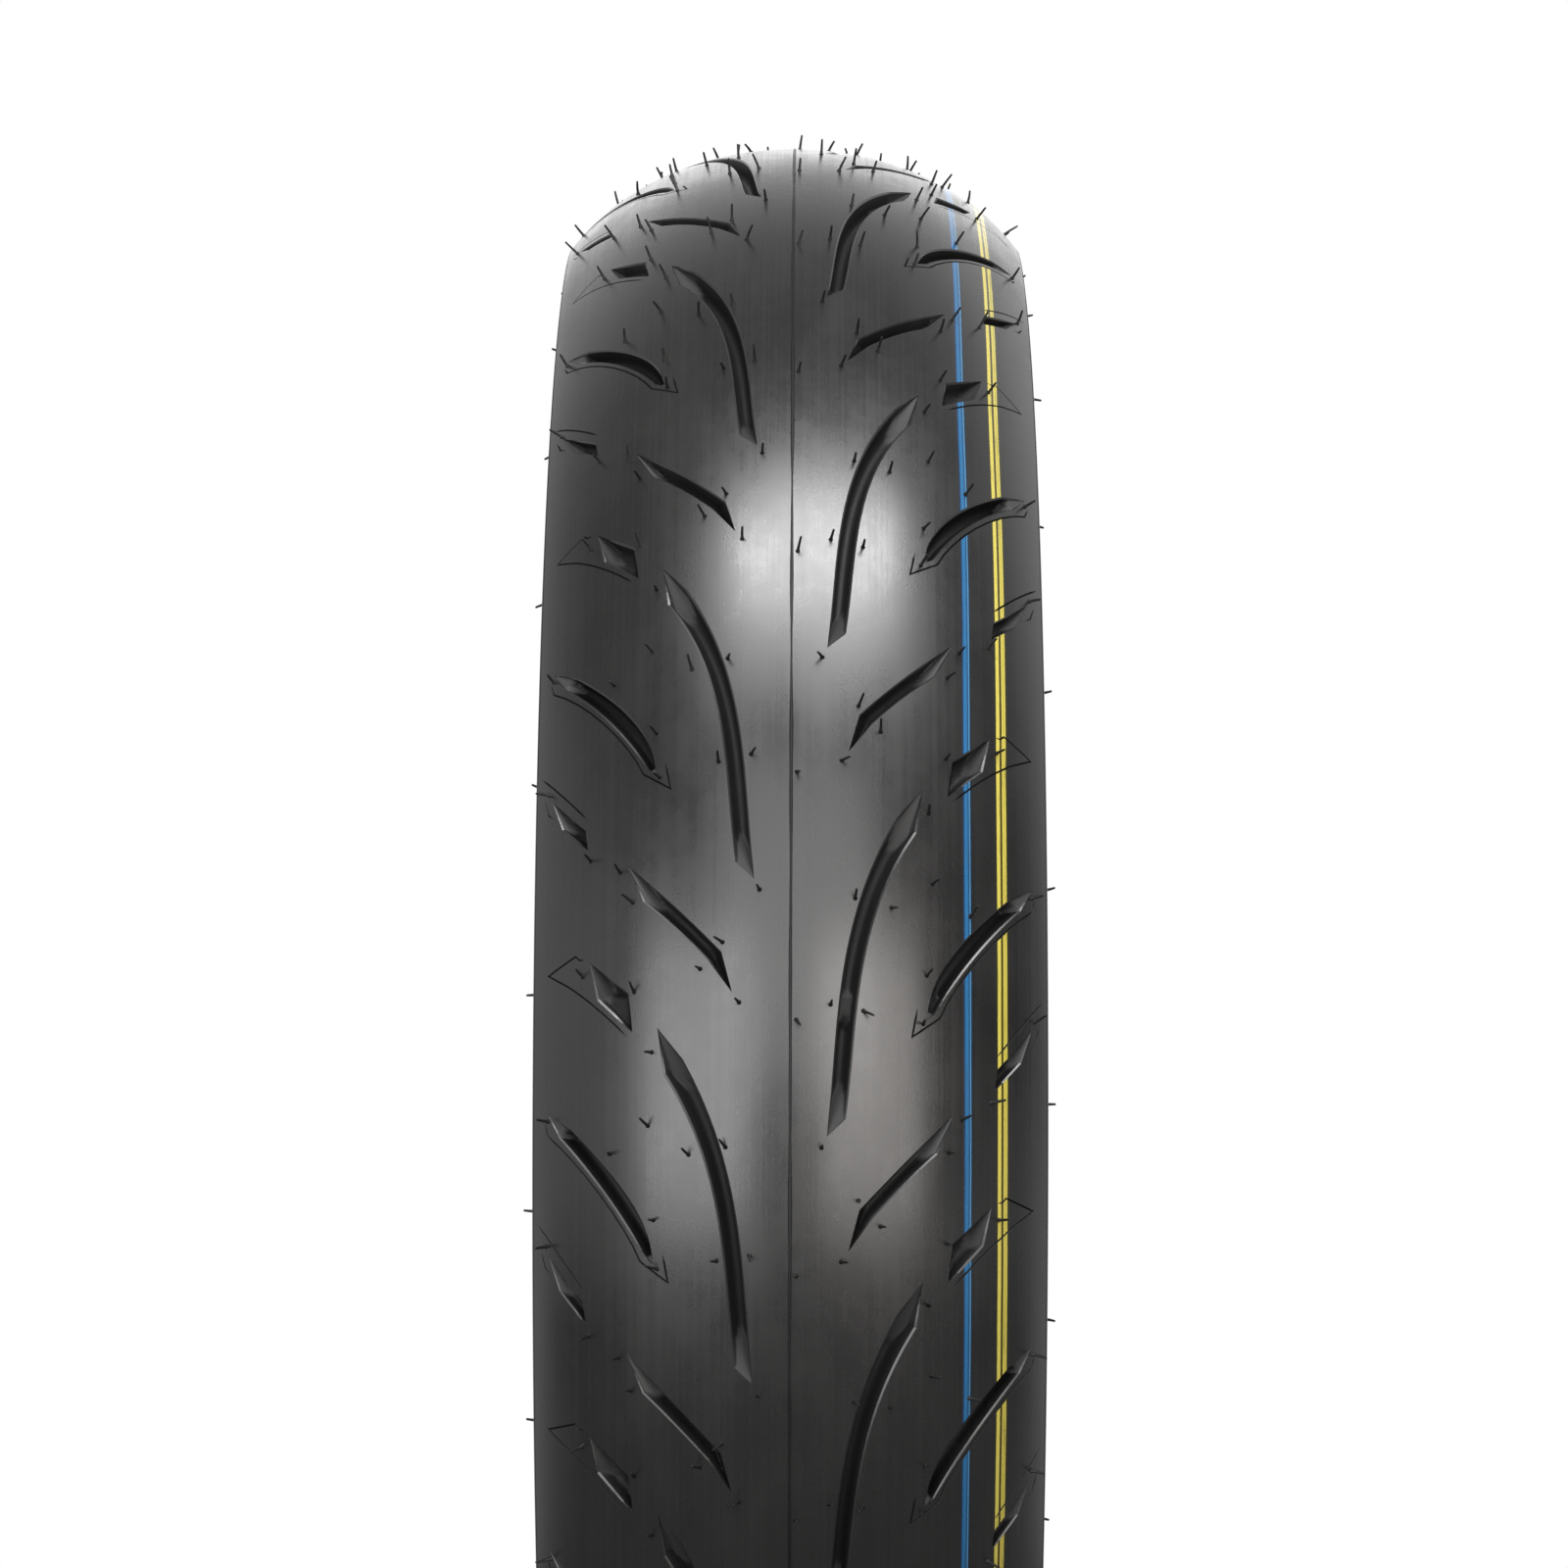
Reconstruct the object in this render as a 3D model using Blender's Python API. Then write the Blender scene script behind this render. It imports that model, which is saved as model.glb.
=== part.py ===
"""Rear motorcycle tyre off its wheel, with every layer of its build as a separate solid.

The wheel axle lies along Y and the wheel centre is the origin, with +Z up. Each piece is a ring, turned
about the axle from a closed cross-section whose points are (lateral, radius). Right is +Y, left is -Y.
"""
import math

import bmesh
import bpy

# Overall sizes, in metres
BEAD_DIAMETER = 0.4318
SECTION_HEIGHT = 0.105
TREAD_WIDTH = 0.147
SIDEWALL_BULGE = 0.00025
BEAD_WIDTH = 0.113

# Crown: an ellipse whose half width passes the tread edge by the overhang
CROWN_DROP = 0.0327
CROWN_OVERHANG = 0.0114

# Layers, from the outside to the inside
GROOVE_FLOOR = 0.002
TREAD_BASE_THICKNESS = 0.0012
BELT_THICKNESS = 0.001
BELT_STEP = 0.004
PLY_THICKNESS = 0.0009
LINER_THICKNESS = 0.001
SIDEWALL_THICKNESS = 0.003
CHAFER_THICKNESS = 0.0016
CLEARANCE = 0.0003

# Bead
CORE_WIDTH = 0.007
CORE_HEIGHT = 0.0065
FILLER_FOOT = 0.004
FILLER_TIP = 0.001
TOE_LIP = 0.0005
HEEL_RISE = 0.002
FLANGE_HEIGHT = 0.0115
RIM_LINE_OUT = 0.010
RIM_LINE_UP = 0.013

# Tread pattern: the right half mirrors the left half, a share of a pitch further round
PITCHES = 14
PATTERN_PHASE = 0.129
RIGHT_STAGGER = 0.5
MAIN_GROOVE_DEPTH = 0.0065
DIAGONAL_GROOVE_DEPTH = 0.006
CRESCENT_DEPTH = 0.005
DIAMOND_DEPTH = 0.0045
EDGE_NOTCH_DEPTH = 0.003
CUTTER_OVERRUN = 0.003

# Fineness of the rings and curves
RING_STEPS = 28
CROWN_SEGMENTS = 8
LAYER_SEGMENTS = 3
GROOVE_CURVE_STEPS = 3
MERGE_DISTANCE = 0.00001

# Shares along the sidewall, from its widest circle or the tread edge down to the rim line
WIDEST_AT = 0.38
SIDEWALL_MID_AT = 0.55
PLY_BEND_AT = 0.35

TREAD_THICKNESS = GROOVE_FLOOR + max(
    MAIN_GROOVE_DEPTH, DIAGONAL_GROOVE_DEPTH, CRESCENT_DEPTH, DIAMOND_DEPTH, EDGE_NOTCH_DEPTH)
CROWN_RADIUS = BEAD_DIAMETER / 2 + SECTION_HEIGHT
TREAD_HALF = TREAD_WIDTH / 2
CROWN_HALF_AXIS = TREAD_HALF + CROWN_OVERHANG
CROWN_EDGE_ANGLE = math.asin(TREAD_HALF / CROWN_HALF_AXIS)
CROWN_DEPTH_AXIS = CROWN_DROP / (1 - math.cos(CROWN_EDGE_ANGLE))

# Place of the carcass ply's bend in the sidewall, counted along the ply from the crown's centre
CARCASS_BEND = LAYER_SEGMENTS + 1


def crown_point(angle):
    """Point of the crown ellipse at a parameter angle from the centre line."""
    lateral = CROWN_HALF_AXIS * math.sin(angle)
    return lateral, CROWN_RADIUS - CROWN_DEPTH_AXIS * (1 - math.cos(angle))


def crown_line(segments_per_side):
    """The crown from the left tread edge to the right one."""
    count = range(-segments_per_side, segments_per_side + 1)
    return [crown_point(CROWN_EDGE_ANGLE * k / segments_per_side) for k in count]


def crown_radius(lateral):
    """Radius of the crown at a lateral position."""
    return crown_point(math.asin(lateral / CROWN_HALF_AXIS))[1]


def unit(start, end):
    """Unit vector from one section point to another."""
    length = math.dist(start, end)
    return (end[0] - start[0]) / length, (end[1] - start[1]) / length


def shifted(point, direction, distance):
    """A section point moved along a direction."""
    return point[0] + direction[0] * distance, point[1] + direction[1] * distance


def outward(direction):
    """Normal on the outer side of a line that runs over the crown from left to right."""
    return -direction[1], direction[0]


def meet(point, direction, other, other_direction):
    """Crossing of two lines in the section."""
    cross = direction[0] * other_direction[1] - direction[1] * other_direction[0]
    gap = other[0] - point[0], other[1] - point[1]
    along = (gap[0] * other_direction[1] - gap[1] * other_direction[0]) / cross
    return shifted(point, direction, along)


def offset_line(points, distance):
    """A line parallel to an open line, with mitred corners; positive distances lie outside."""
    ways = [unit(a, b) for a, b in zip(points, points[1:])]
    moved = [shifted(p, outward(w), distance) for p, w in zip(points, ways)]
    line = [moved[0]]
    for k in range(1, len(ways)):
        line.append(meet(moved[k - 1], ways[k - 1], moved[k], ways[k]))
    line.append(shifted(points[-1], outward(ways[-1]), distance))
    return line


def strip(points, outer, inner):
    """Closed section between two lines parallel to an open line."""
    return offset_line(points, outer) + offset_line(points, inner)[::-1]


def mirrored(section):
    """The same section on the left side."""
    return [(-lateral, radius) for lateral, radius in section][::-1]


def both_sides(half):
    """A line from the left end to the right end, from its right half that starts at the centre."""
    return mirrored(half)[:-1] + half


def bezier(points):
    """Points along a Bezier curve, from its control points."""
    curve = []
    for step in range(GROOVE_CURVE_STEPS + 1):
        t = step / GROOVE_CURVE_STEPS
        row = points
        while len(row) > 1:
            row = [tuple((1 - t) * a + t * b for a, b in zip(p, q)) for p, q in zip(row, row[1:])]
        curve.append(row[0])
    return curve


def material(name, colour, roughness, metallic=0.0):
    """Plain surface with a colour, a roughness and a metallic value."""
    finish = bpy.data.materials.new(name)
    finish.use_nodes = True
    shader = finish.node_tree.nodes["Principled BSDF"]
    shader.inputs["Base Color"].default_value = (*colour, 1.0)
    shader.inputs["Roughness"].default_value = roughness
    shader.inputs["Metallic"].default_value = metallic
    return finish


def add_object(name, mesh):
    """Object with a mesh, linked to the scene."""
    piece = bpy.data.objects.new(name, mesh)
    bpy.context.scene.collection.objects.link(piece)
    return piece


def turned_ring(name, section, finish):
    """Ring turned about the axle from a closed section that runs left to right along its outer side."""
    mesh = bpy.data.meshes.new(name)
    count = len(section)
    edges = [(k, (k + 1) % count) for k in range(count)]
    mesh.from_pydata([(radius, lateral, 0.0) for lateral, radius in section], edges, [])
    mesh.materials.append(finish)
    ring = add_object(name, mesh)
    turn = ring.modifiers.new("Turn", "SCREW")
    turn.axis = "Y"
    turn.angle = math.tau
    turn.steps = RING_STEPS
    turn.render_steps = RING_STEPS
    turn.use_normal_flip = True
    turn.use_merge_vertices = True
    turn.merge_threshold = MERGE_DISTANCE
    return ring


def groove_outlines():
    """Grooves of one pitch on the left half: first tip, lower edge, second tip, upper edge and depth.

    A point is (share of the tread's half width, share of a pitch).
    """
    main_lower = bezier([(0.481, 1.052), (0.229, 0.849), (0.260, 0.660), (0.210, 0.472)])
    main_upper = bezier([(0.418, 1.077), (0.202, 0.880), (0.192, 0.700), (0.162, 0.530)])
    crescent_lower = bezier([(0.874, 0.910), (0.725, 0.847), (0.678, 0.794), (0.553, 0.683)])
    crescent_upper = bezier([(0.797, 0.911), (0.672, 0.845), (0.545, 0.765), (0.536, 0.695)])
    return (
        ((0.511, 1.145), main_lower, (0.140, 0.437), main_upper, MAIN_GROOVE_DEPTH),
        ((0.632, 0.483), [(0.567, 0.401), (0.315, 0.275)], (0.223, 0.211), [(0.550, 0.441), (0.265, 0.293)],
         DIAGONAL_GROOVE_DEPTH),
        ((0.942, 0.983), crescent_lower, (0.515, 0.665), crescent_upper, CRESCENT_DEPTH),
        ((0.778, 0.288), [(0.749, 0.209)], (0.606, 0.141), [(0.622, 0.218)], DIAMOND_DEPTH),
        ((0.937, 0.666), [(0.903, 0.603)], (0.791, 0.530), [(0.803, 0.578)], EDGE_NOTCH_DEPTH),
    )


def tread_place(point, side, pitch, depth):
    """Place on or under the tread of a pattern point, in one pitch of one side."""
    lateral = side * point[0] * TREAD_HALF
    turn = point[1] + PATTERN_PHASE + pitch + (RIGHT_STAGGER if side > 0 else 0.0)
    angle = math.tau * turn / PITCHES
    radius = crown_radius(lateral) - depth
    return radius * math.cos(angle), lateral, radius * math.sin(angle)


def groove_block(bm, outline, side, pitch):
    """Closed block that cuts one groove: a strip of faces between two tips, on top and below."""
    first, lower, second, upper, depth = outline
    ring = [first] + lower + [second] + upper[::-1]
    top = [bm.verts.new(tread_place(p, side, pitch, -CUTTER_OVERRUN)) for p in ring]
    floor = [bm.verts.new(tread_place(p, side, pitch, depth)) for p in ring]
    count = len(ring)
    for cap in (top, floor):
        bm.faces.new((cap[0], cap[1], cap[-1]))
        for k in range(1, len(lower)):
            bm.faces.new((cap[k], cap[k + 1], cap[count - k - 1], cap[count - k]))
        half = len(lower)
        bm.faces.new((cap[half], cap[half + 1], cap[half + 2]))
    for k in range(count):
        after = (k + 1) % count
        bm.faces.new((top[k], top[after], floor[after], floor[k]))


def groove_cutter():
    """All the groove blocks of the tread in one hidden object."""
    bm = bmesh.new()
    for outline in groove_outlines():
        for pitch in range(PITCHES):
            for side in (-1, 1):
                groove_block(bm, outline, side, pitch)
    bmesh.ops.triangulate(bm, faces=bm.faces)
    bmesh.ops.recalc_face_normals(bm, faces=bm.faces)
    mesh = bpy.data.meshes.new("groove_cutter")
    bm.to_mesh(mesh)
    bm.free()
    cutter = add_object("groove_cutter", mesh)
    cutter.hide_render = True
    cutter.display_type = "WIRE"
    return cutter


def bead_outline():
    """Outside of the right bead: rim line, top of the flange face, heel and toe."""
    face = BEAD_WIDTH / 2
    toe_radius = BEAD_DIAMETER / 2
    heel_radius = toe_radius + HEEL_RISE
    flange_top = heel_radius + FLANGE_HEIGHT
    stack = CHAFER_THICKNESS + CORE_WIDTH + 3 * PLY_THICKNESS + LINER_THICKNESS + 6 * CLEARANCE
    rim_line = face + RIM_LINE_OUT, flange_top + RIM_LINE_UP
    return [rim_line, (face, flange_top), (face, heel_radius), (face - stack - TOE_LIP, toe_radius)]


def sidewall_point(share, widest, rim_line):
    """Point on the outside of the right sidewall, a parabola from its widest circle to the rim line."""
    lateral = widest[0] - (widest[0] - rim_line[0]) * share ** 2
    return lateral, widest[1] - (widest[1] - rim_line[1]) * share


def carcass_half(crown, widest, bead):
    """Core side of the turned-up ply, from the crown's centre to the right turn-up's end."""
    turn_up_depth = CHAFER_THICKNESS + CLEARANCE + PLY_THICKNESS
    turn_up = offset_line(bead, -turn_up_depth)
    filler_top = offset_line(bead, -turn_up_depth - 2 * CLEARANCE - FILLER_TIP)[0]
    bend = shifted(sidewall_point(PLY_BEND_AT, widest, bead[0]), (-1, 0), SIDEWALL_THICKNESS + CLEARANCE)
    inner_lateral = turn_up[2][0] - CORE_WIDTH - 2 * CLEARANCE
    under_core = meet(turn_up[2], unit(turn_up[2], turn_up[3]), (inner_lateral, 0.0), (0, 1))
    foot = inner_lateral, core_top(turn_up) + FILLER_FOOT
    return crown + [bend, filler_top, foot, under_core] + turn_up[2::-1]


def core_bottom(turn_up, lateral):
    """Radius of the core's underside, which follows the bead's seat."""
    seat = unit(turn_up[2], turn_up[3])
    return meet(turn_up[2], seat, (lateral, 0.0), (0, 1))[1] + CLEARANCE


def core_top(turn_up):
    """Radius of the core's flat top."""
    return core_bottom(turn_up, turn_up[2][0]) + CORE_HEIGHT


def core_section(turn_up):
    """Right bead core: a bundle with a flat top and a seat that follows the bead."""
    outer = turn_up[2][0] - CLEARANCE
    inner = outer - CORE_WIDTH
    top = core_top(turn_up)
    seat = [(lateral, core_bottom(turn_up, lateral)) for lateral in (outer, inner)]
    return [(inner, top), (outer, top)] + seat


def filler_section(carcass, bead, core):
    """Right bead filler: a wedge on the core, between the ply and its turn-up."""
    outer = offset_line(bead, -CHAFER_THICKNESS - 2 * CLEARANCE - PLY_THICKNESS)
    inner = offset_line(carcass, CLEARANCE)
    top, foot = inner[CARCASS_BEND + 1:CARCASS_BEND + 3]
    tip = meet(outer[0], outward(unit(bead[1], bead[0])), top, unit(top, foot))
    seat = core[0][1] + CLEARANCE
    return [foot, tip, outer[0], outer[1], (core[1][0], seat), (core[0][0], seat)]


def sidewall_section(carcass, widest, bead, edge, edge_way):
    """Right sidewall, from the tread edge down to the chafer."""
    rise = unit(bead[1], bead[0])
    low = shifted(bead[0], rise, CLEARANCE)
    top = shifted(edge, edge_way, CLEARANCE)
    inner = offset_line(carcass, CLEARANCE)
    shoulder, bend, filler_top = inner[CARCASS_BEND - 1:CARCASS_BEND + 2]
    inner_top = meet(top, outward(edge_way), bend, unit(shoulder, bend))
    inner_low = meet(low, outward(rise), bend, unit(bend, filler_top))
    middle = sidewall_point(SIDEWALL_MID_AT, widest, bead[0])
    return [top, widest, middle, low, inner_low, bend, inner_top]


def layer(line, top, bottom):
    """Closed section of a layer whose faces lie at two depths under a line."""
    return strip(line, -top, -bottom)


def belt(line, top, step_in):
    """Closed section of a belt that stops at the last bend before each tread edge, or a step inside it."""
    faces = []
    for depth in (top, top + BELT_THICKNESS):
        face = offset_line(line, -depth)[1:-1]
        first = shifted(face[0], unit(face[0], face[1]), step_in)
        last = shifted(face[-1], unit(face[-1], face[-2]), step_in)
        faces.append([first] + face[1:-1] + [last])
    return faces[0] + faces[1][::-1]


def cushion_section(line, top, bottom):
    """Right shoulder cushion: the strip from the belt edges to the sidewall, under the tread base."""
    faces = []
    for depth in (top, bottom):
        start, end = offset_line(line, -depth)[-2:]
        faces.append([shifted(start, unit(start, end), CLEARANCE), end])
    return faces[0] + faces[1][::-1]


def build():
    """Make every piece of the tyre."""
    for old in list(bpy.data.objects):
        bpy.data.objects.remove(old)

    tread_rubber = material("tread_rubber", (0.035, 0.034, 0.034), 0.55)
    sidewall_rubber = material("sidewall_rubber", (0.030, 0.030, 0.030), 0.6)
    base_rubber = material("base_rubber", (0.05, 0.045, 0.04), 0.7)
    belt_cord = material("belt_cord", (0.32, 0.25, 0.12), 0.8)
    ply_cord = material("ply_cord", (0.36, 0.31, 0.24), 0.8)
    liner_rubber = material("liner_rubber", (0.025, 0.025, 0.028), 0.35)
    bead_wire = material("bead_wire", (0.55, 0.42, 0.28), 0.35, 1.0)
    filler_rubber = material("filler_rubber", (0.04, 0.04, 0.045), 0.65)
    chafer_rubber = material("chafer_rubber", (0.028, 0.028, 0.028), 0.6)

    layers = crown_line(LAYER_SEGMENTS)
    base_top = TREAD_THICKNESS + CLEARANCE
    base_bottom = base_top + TREAD_BASE_THICKNESS
    outer_belt_top = base_bottom + CLEARANCE
    inner_belt_top = outer_belt_top + BELT_THICKNESS + CLEARANCE
    carcass_depth = inner_belt_top + BELT_THICKNESS + CLEARANCE

    edge = layers[-1]
    edge_way = unit(layers[-2], edge)
    bead = bead_outline()
    widest = TREAD_HALF + SIDEWALL_BULGE, edge[1] + (bead[0][1] - edge[1]) * WIDEST_AT
    carcass_crown = offset_line(layers, -carcass_depth)[LAYER_SEGMENTS:]
    carcass = carcass_half(carcass_crown, widest, bead)
    turn_up = offset_line(bead, -CHAFER_THICKNESS - CLEARANCE - PLY_THICKNESS)
    core = core_section(turn_up)

    tread_outer = crown_line(CROWN_SEGMENTS // 2)
    tread = tread_outer + offset_line(layers, -TREAD_THICKNESS)[::-1]
    tread_cap = turned_ring("tread_cap", tread, tread_rubber)
    cut = tread_cap.modifiers.new("Grooves", "BOOLEAN")
    cut.operation = "DIFFERENCE"
    cut.object = groove_cutter()

    turned_ring("tread_base", layer(layers, base_top, base_bottom), base_rubber)
    turned_ring("outer_belt", belt(layers, outer_belt_top, BELT_STEP), belt_cord)
    turned_ring("inner_belt", belt(layers, inner_belt_top, 0.0), belt_cord)

    turned_ring("outer_carcass_ply", layer(both_sides(carcass), 0.0, PLY_THICKNESS), ply_cord)
    under_core = carcass[CARCASS_BEND + 3]
    wrap_corner = offset_line(carcass, -PLY_THICKNESS)[CARCASS_BEND + 3]
    lining = both_sides(carcass[:CARCASS_BEND + 3] + [(under_core[0], wrap_corner[1])])
    inner_ply_top = PLY_THICKNESS + CLEARANCE
    turned_ring("inner_carcass_ply", layer(lining, inner_ply_top, inner_ply_top + PLY_THICKNESS), ply_cord)
    liner_top = inner_ply_top + PLY_THICKNESS + CLEARANCE
    turned_ring("inner_liner", layer(lining, liner_top, liner_top + LINER_THICKNESS), liner_rubber)

    side_pieces = (
        ("sidewall", sidewall_section(carcass, widest, bead, edge, edge_way), sidewall_rubber),
        ("shoulder_cushion", cushion_section(layers, outer_belt_top, carcass_depth - CLEARANCE), base_rubber),
        ("chafer", layer(bead, 0.0, CHAFER_THICKNESS), chafer_rubber),
        ("bead_core", core, bead_wire),
        ("bead_filler", filler_section(carcass, bead, core), filler_rubber),
    )
    for name, section, finish in side_pieces:
        turned_ring("right_" + name, section, finish)
        turned_ring("left_" + name, mirrored(section), finish)


build()
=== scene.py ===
"""Dresses the motorcycle tyre for rendering.

The axle lies along Y, the wheel centre is the origin and the camera looks along -X at the tread.
The tread is laid out flat as (across, along) and then wrapped round the tyre. "Along" counts in
pitches, of which there are 14 in a turn; "across" is a share of half the tread's width.
"""

import math
import random
from itertools import product

import bmesh
import bpy
from mathutils import Matrix, Vector, noise
from mathutils.geometry import delaunay_2d_cdt, intersect_point_line


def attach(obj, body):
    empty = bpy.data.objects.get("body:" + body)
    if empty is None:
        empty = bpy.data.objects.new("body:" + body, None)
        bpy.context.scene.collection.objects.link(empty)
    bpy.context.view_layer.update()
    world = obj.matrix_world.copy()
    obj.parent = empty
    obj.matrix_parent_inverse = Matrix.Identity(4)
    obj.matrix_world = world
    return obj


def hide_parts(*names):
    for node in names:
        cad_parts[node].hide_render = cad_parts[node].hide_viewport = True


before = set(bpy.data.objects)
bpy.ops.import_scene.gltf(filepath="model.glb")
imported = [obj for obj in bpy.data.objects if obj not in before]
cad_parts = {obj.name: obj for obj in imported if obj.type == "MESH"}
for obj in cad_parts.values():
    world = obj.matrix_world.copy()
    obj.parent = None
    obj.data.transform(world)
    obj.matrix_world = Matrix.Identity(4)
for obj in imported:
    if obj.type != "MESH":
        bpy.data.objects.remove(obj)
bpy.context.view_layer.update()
random.seed(14)

# Sizes of the tyre in metres, as in the solids. The tread is 0.1 mm thinner, to stay clear of its base.
CROWN_RADIUS = 0.3209
CROWN_HALF_AXIS = 0.0849
CROWN_DEPTH_AXIS = 0.0654
TREAD_HALF = 0.0735
TREAD_THICKNESS = 0.0084
PITCHES = 14
PATTERN_PHASE = 0.129
RIGHT_STAGGER = 0.5
PITCH_LENGTH = 2 * math.pi * CROWN_RADIUS / PITCHES
EDGE_ANGLE = math.asin(TREAD_HALF / CROWN_HALF_AXIS)

# How far each half of the pattern lies from the solids' pattern, in pitches: -1 is left and 1 is right.
PATTERN_SHIFT = {-1: 0.003, 1: -0.005}

# How finely the shapes are drawn.
STEPS_PER_PITCH = 24
RING_STEPS = PITCHES * STEPS_PER_PITCH
ACROSS_STEPS = 24
INSIDE_STEPS = 8
ACROSS_SCALE = 0.0785
CURVE_STEPS = 16
CORNER_STEPS = 6
SIDEWALL_STEPS = 90
POINT_SPACING = 0.004
KEEP_CLEAR = 0.0011
SHARP_ANGLE = math.radians(38)

# Points closer than a weld are one point, what lies past NEARBY is out of reach, and what lies within
# PLANE_REACH of a plane is in it. The slack keeps rounding from adding a step.
WELD = 0.000004
MESH_WELD = 1e-7
NEARBY = 0.02
PLANE_REACH = 2e-5
LEAST_WIDTH = 1e-6
SPACING_SLACK = 1.001

# Section of a groove: its chamfered edge, then its wall by shares of half its width. The slopes at its
# ends stop in a steep step.
CHAMFER_WIDTH = 0.0006
CHAMFER_DEPTH = 0.0004
CHAMFER_MOST = 0.18
WALL_STEPS = (0.24, 0.36, 0.52, 0.74, 1.0)
WALL_POWER = 3.6
STEP_LENGTH = 0.0025
STEP_DROP = 0.01
GROOVE_SPACING = 0.0022

# Wear bars, which lie across the grooves at a few places round the tyre.
BAR_COUNT = 6
BAR_TURN = math.radians(8.1)
BAR_HALF_LENGTH = 0.0048
BAR_HEIGHT = 0.0018
BAR_LEAST_DEPTH = 0.004

# Engraved lines. LINE_CUT is how deep they count for the painted lines, and LEAST_MITRE tames sharp bends.
LINE_HALF_WIDTH = 0.00031
LINE_DEPTH = 0.00040
LINE_CUT = 0.8
LEAST_MITRE = 0.45

# The tread's edge: where the border between two pitches meets it, as (across, along), and its height.
BORDER_END = (1, 0.60)
EDGE_HEIGHT = 0.001

# Vent hairs. Leans say how their directions spread, and ranges of lengths are shares of HAIR_LENGTH. The
# vents of the seam lie at shares of a pitch, and those of the flanks are staggered by a share of theirs.
HAIR_LENGTH = 0.0048
HAIR_RADIUS = 0.00044
HAIR_SIDES = 6
HAIR_BEND = 0.35
TREAD_LEAN = 0.16
UPWARD_LEAN = 0.12
FLANK_LEAN = 0.2
TREAD_LENGTHS = (0.75, 1.1)
FLANK_LENGTHS = (0.4, 0.7)
SEAM_VENTS = (0.16, 0.66)
SEAM_VENT_ACROSS = 0.0016
FLANK_VENT_RADIUS = 0.2785
FLANK_VENT_ACROSS = 0.07365
FLANK_STAGGER = 0.25

# The seam of the mould.
SEAM_HALF_WIDTH = 0.00046
SEAM_HEIGHT = 0.00022
SEAM_WANDER = 0.00012
SEAM_RIPPLE = 0.00005


def bezier(points, steps):
    """Points along the curve that the control points pull."""
    result = []
    for step in range(steps + 1):
        share = step / steps
        row = [Vector(point) for point in points]
        while len(row) > 1:
            row = [a.lerp(b, share) for a, b in zip(row, row[1:])]
        result.append(row[0])
    return result


def divided(points, spacing):
    """The same line with extra points, none further apart than the spacing."""
    result = [points[0]]
    for a, b in zip(points, points[1:]):
        count = max(1, math.ceil((b - a).length / spacing))
        for step in range(1, count + 1):
            result.append(a.lerp(b, step / count))
    return result


def circle(steps):
    """The cosines and sines of evenly spaced places round a circle."""
    turns = [2 * math.pi * step / steps for step in range(steps)]
    return [(math.cos(turn), math.sin(turn)) for turn in turns]


# The tread surface.

def crown_normal(angle):
    """Outward direction across the tread at an angle of the crown, as (sideways, away from the axle)."""
    return Vector((CROWN_DEPTH_AXIS * math.sin(angle), CROWN_HALF_AXIS * math.cos(angle))).normalized()


def crown_point(angle, depth):
    """Sideways place and radius of a point under the crown."""
    across = CROWN_HALF_AXIS * math.sin(angle)
    radius = CROWN_RADIUS - CROWN_DEPTH_AXIS * (1 - math.cos(angle))
    inward = crown_normal(angle) * depth
    return across - inward.x, radius - inward.y


def turn_of(point):
    """The angle round the axle of a point of the flat tread."""
    return 2 * math.pi * (point.y / PITCH_LENGTH + PATTERN_PHASE) / PITCHES


def wrap(point, depth):
    """Where a point of the flat tread lies on the tyre."""
    across, radius = crown_point(point.x / ACROSS_SCALE, depth)
    turn = turn_of(point)
    return Vector((radius * math.cos(turn), across, radius * math.sin(turn)))


def surface_normal(place):
    """Outward direction of the smooth tread at a place on it."""
    share = max(-1.0, min(1.0, place.y / CROWN_HALF_AXIS))
    sideways, outward = crown_normal(math.asin(share))
    radius = math.hypot(place.x, place.z)
    return Vector((place.x / radius * outward, sideways, place.z / radius * outward))


def flat(point, side):
    """A point (across, along) of the left half, on the flat tread; side is -1 for left and 1 for right."""
    across = side * ACROSS_SCALE * math.asin(point[0] * TREAD_HALF / CROWN_HALF_AXIS)
    stagger = RIGHT_STAGGER if side > 0 else 0.0
    return Vector((across, (point[1] + stagger) * PITCH_LENGTH))


def patterned(point, side, lift=0):
    """A point of the pattern on the flat tread, with the small shift of its half."""
    return flat(point, side) + Vector((0, (lift + PATTERN_SHIFT[side]) * PITCH_LENGTH))


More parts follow.
